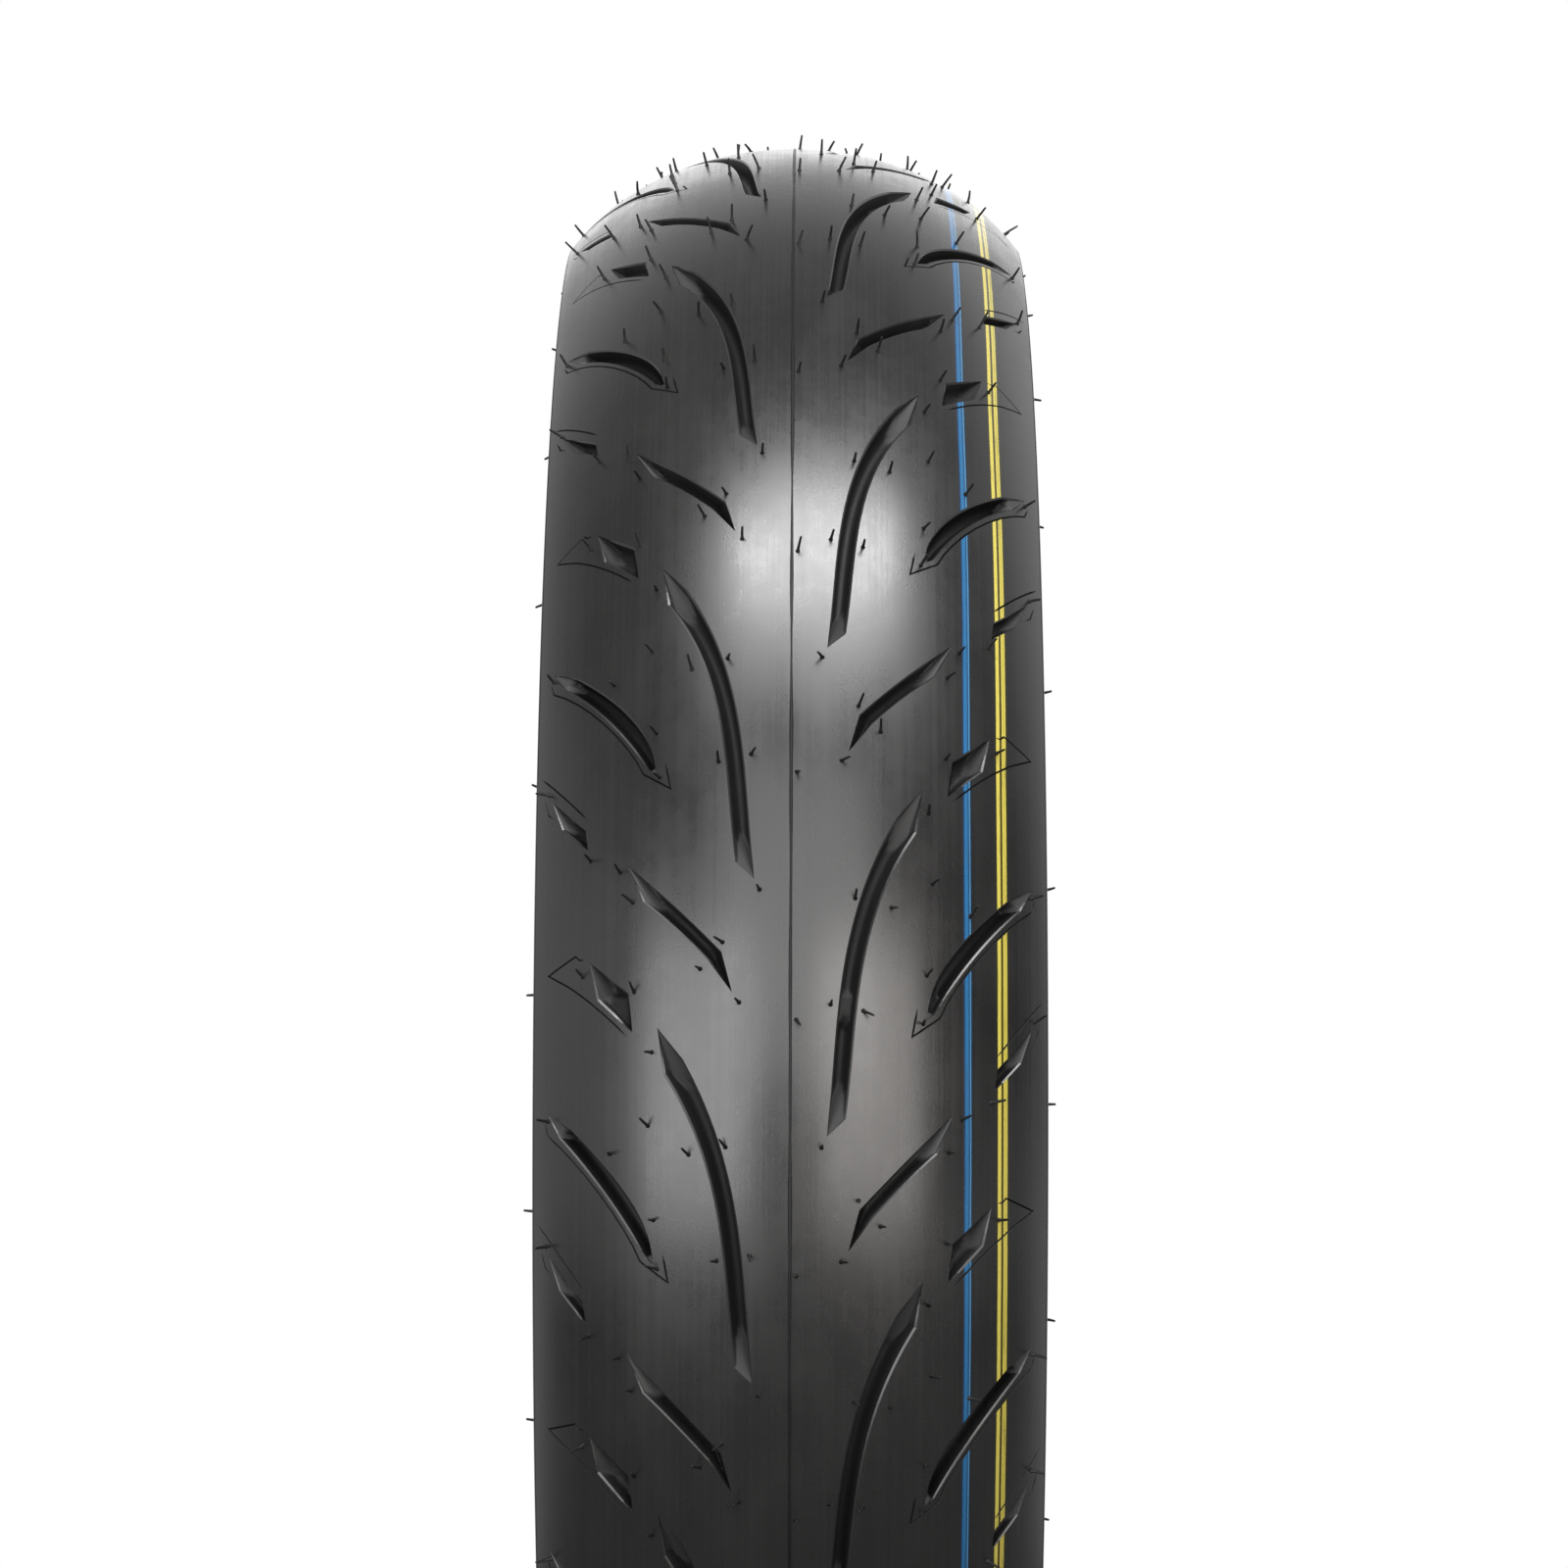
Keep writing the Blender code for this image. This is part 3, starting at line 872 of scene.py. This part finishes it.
def painted_shade_groove_rubber():
    """Duller rubber for grooves, darkened as painted shade, with painted light paling their end slopes."""
    paint = rubber("painted_shade_groove_rubber", grey(0.005), grey(0.009), 0.5, 0.25)
    # Painted light: each point's share of painted light pales the dark colour towards grey.
    paint.set("Base Color", paint.blend(paint.attribute("painted_light"), paint.colour, grey(0.100)))
    return paint.material


def cord(name, dark, light, spacing, slant):
    """Rubbered cords laid side by side at a slant to the way around the tyre."""
    paint = Paint(name)
    threads = paint.wave(paint.unrolled(slant), 0.5 / spacing, "Y")
    blotches = paint.noise(paint.place, 60, 4)
    tone = paint.math("MULTIPLY", threads, paint.fit(blotches, 0.3, 0.7, 0.6, 1))
    paint.set("Base Color", paint.blend(tone, dark, light))
    paint.set("Roughness", paint.fit(blotches, 0.3, 0.7, 0.5, 0.7))
    paint.set("Normal", paint.bump(threads, CORD_DEPTH))
    return paint.material


def wire():
    """Bronze-coated steel wire, wound around the bead."""
    paint = Paint("bead_wire")
    turns = paint.wave(paint.place, 350, "Y")
    stains = paint.noise(paint.place, 120, 4)
    paint.set("Metallic", 1.0)
    paint.set("Base Color", paint.blend(stains, (0.42, 0.30, 0.18, 1), (0.62, 0.47, 0.30, 1)))
    paint.set("Roughness", paint.fit(stains, 0.3, 0.7, 0.3, 0.45))
    paint.set("Normal", paint.bump(turns, WIRE_DEPTH))
    return paint.material


def liner_rubber():
    """Smooth inner rubber with the faint ribs that the curing bladder leaves."""
    paint = rubber("liner_rubber", (0.018, 0.018, 0.019, 1), (0.028, 0.028, 0.029, 1), 0.42, 0.5)
    ribs = paint.wave(paint.unrolled(LINER_SLANT), 55, "X")
    paint.set("Normal", paint.bump(ribs, RIB_DEPTH, paint.normal))
    return paint.material


def chafer_rubber():
    """Bead rubber with the print of its woven fabric."""
    paint = rubber("chafer_rubber", grey(0.022), grey(0.034), 0.45, 0.5)
    warp = paint.wave(paint.unrolled(), 330, "DIAGONAL")
    weave = paint.math("MULTIPLY", warp, paint.noise(paint.place, 900, 2))
    paint.set("Normal", paint.bump(weave, WEAVE_DEPTH, paint.normal))
    return paint.material


# The other shapes of the tyre.

def rounded(points, corner_cut):
    """A closed outline with its corners rounded, each cut back by its own length."""
    result = []
    corners = [Vector(point) for point in points]
    earlier = corners[-1:] + corners[:-1]
    later = corners[1:] + corners[:1]
    for before, here, after, cut in zip(earlier, corners, later, corner_cut):
        if cut == 0:
            result.append(here)
            continue
        start = here + (before - here).normalized() * cut
        end = here + (after - here).normalized() * cut
        result += bezier([start, here, end], CORNER_STEPS)
    return result


def swell(radius, middle, half_width, height):
    """The height of a rounded rib at a radius."""
    share = abs(radius - middle) / half_width
    return height * 0.5 * (1 + math.cos(math.pi * share)) if share < 1 else 0.0


def sidewall_outline(side):
    """A sidewall from the tread's edge to the bead, with moulded ribs and a bare band between them."""
    controls = [(0.07372, 0.28800), (0.0742, 0.2740), (0.0735, 0.2560), (0.06668, 0.24264)]
    ribs = (
        (0.2850, 0.0012, 0.00030), (0.2790, 0.0007, 0.00025), (0.2520, 0.0007, 0.00030),
        (0.2468, 0.0006, 0.00030), (0.2450, 0.0006, 0.00030),
    )
    outline = []
    for point in bezier(controls, SIDEWALL_STEPS):
        rise = sum(swell(point.y, *rib) for rib in ribs)
        outline.append((side * (point.x + rise), point.y))
    inner = [(0.06338, 0.24518), (0.0675, 0.2510), (0.06988, 0.26084)]
    inner += [(0.06890, 0.27100), (0.06511, 0.27862)]
    return outline + [(side * across, radius) for across, radius in inner]


def chafer_outline(side):
    """A bead's outer cover: the slope to the rim line, the seat on the flange, the heel and the toe."""
    corners = [
        (0.06650, 0.24240), (0.05650, 0.22940), (0.05650, 0.21790), (0.04190, 0.21590),
        (0.04168, 0.21749), (0.05490, 0.21930), (0.05490, 0.22994), (0.06523, 0.24338),
    ]
    cuts = [0.0004, 0.0045, 0.0018, 0.0005, 0.0005, 0, 0, 0]
    return [(side * point.x, point.y) for point in rounded(corners, cuts)]


def hair(points, faces, root, outward, lean, length):
    """One vent hair: a small foot, a thin stem and a blunt tip."""
    direction = (outward + lean).normalized()
    bend = lean * HAIR_BEND
    side = direction.orthogonal().normalized()
    other = direction.cross(side)
    foot = ((-0.0006, 1.9), (0.0, 1.7), (0.0005, 1.0))
    profile = foot + ((0.5 * length, 0.9), (0.97 * length, 0.75), (length, 0.35))
    start = len(points)
    for height, width in profile:
        share = max(0.0, height / length)
        middle = root + direction * height + bend * (share * share * length)
        for cosine, sine in circle(HAIR_SIDES):
            away = side * cosine + other * sine
            points.append(middle + away * (HAIR_RADIUS * width))
    for level in range(len(profile) - 1):
        for step in range(HAIR_SIDES):
            after = (step + 1) % HAIR_SIDES
            low = start + level * HAIR_SIDES
            high = low + HAIR_SIDES
            faces.append((low + step, low + after, high + after, high + step))
    faces.append(tuple(start + step for step in reversed(range(HAIR_SIDES))))
    top = start + (len(profile) - 1) * HAIR_SIDES
    faces.append(tuple(top + step for step in range(HAIR_SIDES)))


def vent_places():
    """Where the vents of one pitch open on the left half, as (across, along)."""
    beside_main = [(0.533, 1.096), (0.389, 0.893), (0.248, 0.909)]
    beside_main += [(0.281, 0.684), (0.154, 0.696), (0.120, 0.416)]
    beside_diagonal = [(0.660, 0.470), (0.610, 0.404), (0.262, 0.312), (0.347, 0.260), (0.197, 0.192)]
    beside_crescent = [(0.695, 0.890), (0.524, 0.760), (0.943, 0.953), (0.510, 0.662), (0.546, 0.949)]
    beside_diamond = [(0.804, 0.259), (0.602, 0.220)]
    beside_notch = [(0.778, 0.505), (0.950, 0.680)]
    return beside_main + beside_diagonal + beside_crescent + beside_diamond + beside_notch


def build_hairs():
    """All the vent hairs of the tread and the shoulders."""
    points = []
    faces = []
    roots = []
    for pitch in range(PITCHES):
        shift = Vector((0, pitch * PITCH_LENGTH))
        for side in (-1, 1):
            for place in vent_places():
                roots.append(wrap(patterned(place, side) + shift, 0.0))
        for along in SEAM_VENTS:
            roots.append(wrap(Vector((SEAM_VENT_ACROSS, (along + pitch) * PITCH_LENGTH)), 0.0))
    for root in roots:
        outward = surface_normal(root)
        forward, sideways, upward = [random.gauss(0, TREAD_LEAN) for axis in range(3)]
        lean = Vector((forward, sideways, upward + UPWARD_LEAN))
        length = HAIR_LENGTH * random.uniform(*TREAD_LENGTHS)
        if (root + (outward + lean).normalized() * length).z > -CROWN_RADIUS:
            hair(points, faces, root, outward, lean, length)
    for number in range(2 * PITCHES):
        for side in (-1, 1):
            turn = 2 * math.pi * (number + FLANK_STAGGER * side) / (2 * PITCHES)
            forward = FLANK_VENT_RADIUS * math.cos(turn)
            upward = FLANK_VENT_RADIUS * math.sin(turn)
            root = Vector((forward, side * FLANK_VENT_ACROSS, upward))
            lean = Vector((random.gauss(0, FLANK_LEAN), 0, random.gauss(0, FLANK_LEAN)))
            length = HAIR_LENGTH * random.uniform(*FLANK_LENGTHS)
            hair(points, faces, root, Vector((0, side, 0)), lean, length)
    piece = finished_mesh("vent_hairs", points, faces)
    smooth(piece)
    return piece


def build_seam():
    """The thin ridge that the mould's joint leaves round the middle of the tread."""
    points = []
    profile = ((-1.0, -0.3), (-0.55, 0.75), (0.0, 1.0), (0.55, 0.75), (1.0, -0.3))
    steps = RING_STEPS * 2
    for forward, upward in circle(steps):
        around = Vector((forward, 0, upward))
        # The seam strays, rises and widens at random, at these rates round the tyre.
        wander = noise.noise(around * 9) * SEAM_WANDER + noise.noise(around * 60) * SEAM_RIPPLE
        height = SEAM_HEIGHT * (1 + 0.6 * noise.noise(around * 40 + Vector((3, 5, 7))))
        width = SEAM_HALF_WIDTH * (1.1 + 0.7 * noise.noise(around * 14))
        for across, rise in profile:
            radius = CROWN_RADIUS + rise * height
            points.append((around.x * radius, across * width + wander, around.z * radius))
    piece = finished_mesh("mould_seam", points, ring_faces(steps, len(profile)))
    turn_outward(piece)
    piece.data.shade_smooth()
    return piece


def dress(piece, slot, material, *nodes):
    """Fixes a piece to the tyre, hides the solids that it stands for and paints it."""
    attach(piece, "root")
    if nodes:
        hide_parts(*nodes)
    if not piece.data.materials:
        piece.data.materials.append(material)


tread_paint = tread_rubber()
groove_shade_paint = painted_shade_groove_rubber()
ledge_paint = rubber("ledge_rubber", *TREAD_LOOK).material
edge_paint = rubber("edge_rubber", grey(0.012), grey(0.020), 0.32, 0.85).material
hair_paint = rubber("hair_rubber", grey(0.005), grey(0.010), 0.5, 0.4).material
seam_paint = rubber("seam_rubber", grey(0.007), grey(0.012), 0.45, 0.3).material
# Painted light: the sidewall rubber is lighter than the tread's, for light the lamps hardly bring to the
# sides.
sidewall_lightened_paint = rubber("sidewall_rubber", grey(0.026), grey(0.040), 0.40, 0.6).material
chafer_paint = chafer_rubber()
liner_paint = liner_rubber()
base_paint = rubber("base_rubber", *BASE_LOOK).material
filler_paint = rubber("filler_rubber", *FILLER_LOOK).material
belt_out_paint = cord("outer_belt_cord", *BELT_LOOK, BELT_SLANT)
belt_in_paint = cord("inner_belt_cord", *BELT_LOOK, -BELT_SLANT)
ply_out_paint = cord("outer_ply_cord", *PLY_LOOK, PLY_SLANT)
ply_in_paint = cord("inner_ply_cord", *PLY_LOOK, -PLY_SLANT)
wire_paint = wire()

dress(build_tread(), "tread_rubber", tread_paint, "tread_cap")
dress(build_hairs(), "tread_rubber", hair_paint)
dress(build_seam(), "tread_rubber", seam_paint)
for name, side in (("left", -1), ("right", 1)):
    sidewall = ring(name + "_sidewall_ring", sidewall_outline(side), RING_STEPS)
    dress(sidewall, "sidewall_rubber", sidewall_lightened_paint, name + "_sidewall")
    chafer = ring(name + "_chafer_ring", chafer_outline(side), RING_STEPS)
    dress(chafer, "chafer_rubber", chafer_paint, name + "_chafer")
dress(ring("inner_liner_ring", solid_outline("inner_liner")), "liner_rubber", liner_paint, "inner_liner")
hidden = (
    ("tread_base", "base_rubber", base_paint), ("outer_belt", "belt_cord", belt_out_paint),
    ("inner_belt", "belt_cord", belt_in_paint), ("outer_carcass_ply", "ply_cord", ply_out_paint),
    ("inner_carcass_ply", "ply_cord", ply_in_paint), ("left_shoulder_cushion", "base_rubber", base_paint),
    ("right_shoulder_cushion", "base_rubber", base_paint), ("left_bead_core", "bead_wire", wire_paint),
    ("right_bead_core", "bead_wire", wire_paint), ("left_bead_filler", "filler_rubber", filler_paint),
    ("right_bead_filler", "filler_rubber", filler_paint),
)
for node, slot, material in hidden:
    dress(ring(node + "_ring", solid_outline(node)), slot, material, node)


# Camera, light and floor.

CAMERA_PLACE = (1.8595, 0.0045, 0.1078)
CAMERA_YAW = 0.00416
CAMERA_ROLL = 0.0022
SENSOR_WIDTH = 36
LENS = 125.91
LOOK_ALONG_X = Matrix(((0, 0, 1, 0), (1, 0, 0, 0), (0, 1, 0, 0), (0, 0, 0, 1)))
camera_data = bpy.data.cameras.new("camera")
camera_data.sensor_width = SENSOR_WIDTH
camera_data.lens = LENS
camera = bpy.data.objects.new("camera", camera_data)
turned = Matrix.Rotation(CAMERA_YAW, 4, "Z") @ LOOK_ALONG_X @ Matrix.Rotation(CAMERA_ROLL, 4, "Z")
camera.matrix_world = Matrix.Translation(CAMERA_PLACE) @ turned
bpy.context.collection.objects.link(camera)
bpy.context.scene.camera = camera
bpy.context.scene.view_settings.view_transform = "Standard"

# The lamps shine at this place.
TREAD_FRONT = Vector((0.2, 0.0, 0.05))


def lamp_at(name, side, rise, away, width, height, level, colour=(1, 1, 1), roll=0):
    """A flat lamp that faces the front of the tread, and that the camera doesn't see.

    Side and rise are its angles in degrees to the right and up, and roll turns it about its own axis. Level
    is its brightness seen directly.
    """
    data = bpy.data.lights.new(name, "AREA")
    data.shape = "RECTANGLE"
    data.size = width
    data.size_y = height
    data.energy = level * math.pi * width * height
    data.color = colour
    flat_part = math.cos(math.radians(rise))
    direction = Vector((
        flat_part * math.cos(math.radians(side)), flat_part * math.sin(math.radians(side)),
        math.sin(math.radians(rise))))
    lamp = bpy.data.objects.new(name, data)
    lamp.location = TREAD_FRONT + direction * away
    aimed = (TREAD_FRONT - lamp.location).to_track_quat("-Z", "Y").to_matrix()
    lamp.rotation_euler = (aimed @ Matrix.Rotation(math.radians(roll), 3, "Z")).to_euler()
    lamp.visible_camera = False
    bpy.context.collection.objects.link(lamp)


# The side and rise of each lamp, its distance, its width and height, and its level.
lamp_at("key", 15.5, 68.5, 2.55, 1.96, 0.64, 10.5, roll=-8)
lamp_at("key_tail", 21.5, 54, 2.55, 0.85, 0.42, 3.2)
lamp_at("overhead", 12, 65, 2.5, 3.0, 1.3, 1.7)
lamp_at("front", 2, 23, 2.6, 2.3, 1.8, 1.75)
lamp_at("low_left", -29.5, 4.2, 1.8, 1.15, 1.0, 3.4)
lamp_at("low_right", 24.5, 4.2, 1.8, 1.05, 1.0, 3.1, (1.0, 0.95, 0.915))
lamp_at("back", 180, 20, 2.8, 1.5, 1.1, 1.2)


def build_world():
    """White behind everything for the camera; for light, a pale wall behind the tyre and a dim room."""
    world = bpy.data.worlds.new("studio")
    bpy.context.scene.world = world
    sky = Nodes(world)
    split = sky.node("ShaderNodeSeparateXYZ")
    sky.join(sky.node("ShaderNodeTexCoord").outputs["Generated"], split.inputs[0])
    x, y, z = split.outputs
    # Each glow fades over a range of directions: the wall behind, the left side low down, the right side
    # behind, and the whole room.
    wall = sky.math("MULTIPLY", sky.fit(x, -0.95, -0.1, 0.75, 0.0), sky.fit(z, 0.5, 1.0, 1.0, 0.15))
    wall = sky.math("MULTIPLY", wall, sky.fit(y, -0.8, -0.2, 0.55, 1.0))
    left = sky.math("MULTIPLY", sky.fit(y, -0.95, -0.35, 0.47, 0.0), sky.fit(z, 0.2, 0.55, 1.0, 0.1))
    right = sky.math("MULTIPLY", sky.fit(y, 0.35, 0.95, 0.0, 0.45), sky.fit(x, -0.5, 0.1, 1.0, 0.0))
    dim = sky.fit(z, -0.2, 1.0, 0.05, 0.18)
    level = sky.math("ADD", sky.math("ADD", dim, right), sky.math("ADD", wall, left))
    white = sky.node("ShaderNodeBackground", Color=grey(1))
    room = sky.node("ShaderNodeBackground", Color=grey(1), Strength=level)
    mix = sky.node("ShaderNodeMixShader")
    sky.join(sky.seen(sky.node("ShaderNodeLightPath")), mix.inputs[0])
    sky.join(room.outputs[0], mix.inputs[1])
    sky.join(white.outputs[0], mix.inputs[2])
    sky.node("ShaderNodeOutputWorld", Surface=mix.outputs[0])


# The floor, and how far out it starts to pale and is white.
FLOOR_RADIUS = 6
FLOOR_SIDES = 96
FLOOR_PALE = 0.6
FLOOR_WHITE = 1.2


def build_floor():
    """A round pale floor that shows the tyre's shadow and turns white further out."""
    points = [(0, 0, -CROWN_RADIUS)]
    for x, y in circle(FLOOR_SIDES):
        points.append((FLOOR_RADIUS * x, FLOOR_RADIUS * y, -CROWN_RADIUS))
    faces = [(0, step + 1, (step + 1) % FLOOR_SIDES + 1) for step in range(FLOOR_SIDES)]
    floor = finished_mesh("floor", points, faces)
    paint = Paint("floor_paint")
    dust = paint.noise(paint.place, 3, 3)
    path = paint.node("ShaderNodeLightPath")
    pale = paint.blend(dust, grey(0.78), grey(0.84))
    seen = paint.seen(path)
    paint.set("Base Color", paint.blend(seen, grey(0.10), pale))
    paint.set("Roughness", 0.9)
    paint.set("Specular IOR Level", 0.1)
    squares = paint.math("ADD", paint.math("POWER", paint.x, 2), paint.math("POWER", paint.y, 2))
    away = paint.math("SQRT", squares)
    far = paint.fit(away, FLOOR_PALE, FLOOR_WHITE, 0, 1)
    # What the gloss of the rubber mirrors: the floor close behind the tyre and the floor far away.
    behind = paint.fit(away, 0.38, 0.55, 0, 0.62)
    behind = paint.math("MULTIPLY", behind, paint.fit(paint.x, -0.1, 0.3, 1, 0))
    distant = paint.fit(away, 1.3, 2.2, 0, 0.45)
    distant = paint.math("MULTIPLY", distant, paint.fit(paint.y, 0.3, 1.3, 1, 0.65))
    mirrored = paint.math("MAXIMUM", behind, distant)
    glossy = paint.math("MULTIPLY", path.outputs["Is Glossy Ray"], mirrored)
    shown = paint.math("MAXIMUM", paint.math("MULTIPLY", far, seen), glossy)
    glow = paint.node("ShaderNodeEmission", Color=grey(1))
    mix = paint.node("ShaderNodeMixShader")
    paint.join(shown, mix.inputs[0])
    paint.join(paint.shader.outputs["BSDF"], mix.inputs[1])
    paint.join(glow.outputs[0], mix.inputs[2])
    paint.join(mix.outputs[0], paint.output.inputs["Surface"])
    floor.data.materials.append(paint.material)


build_world()
build_floor()
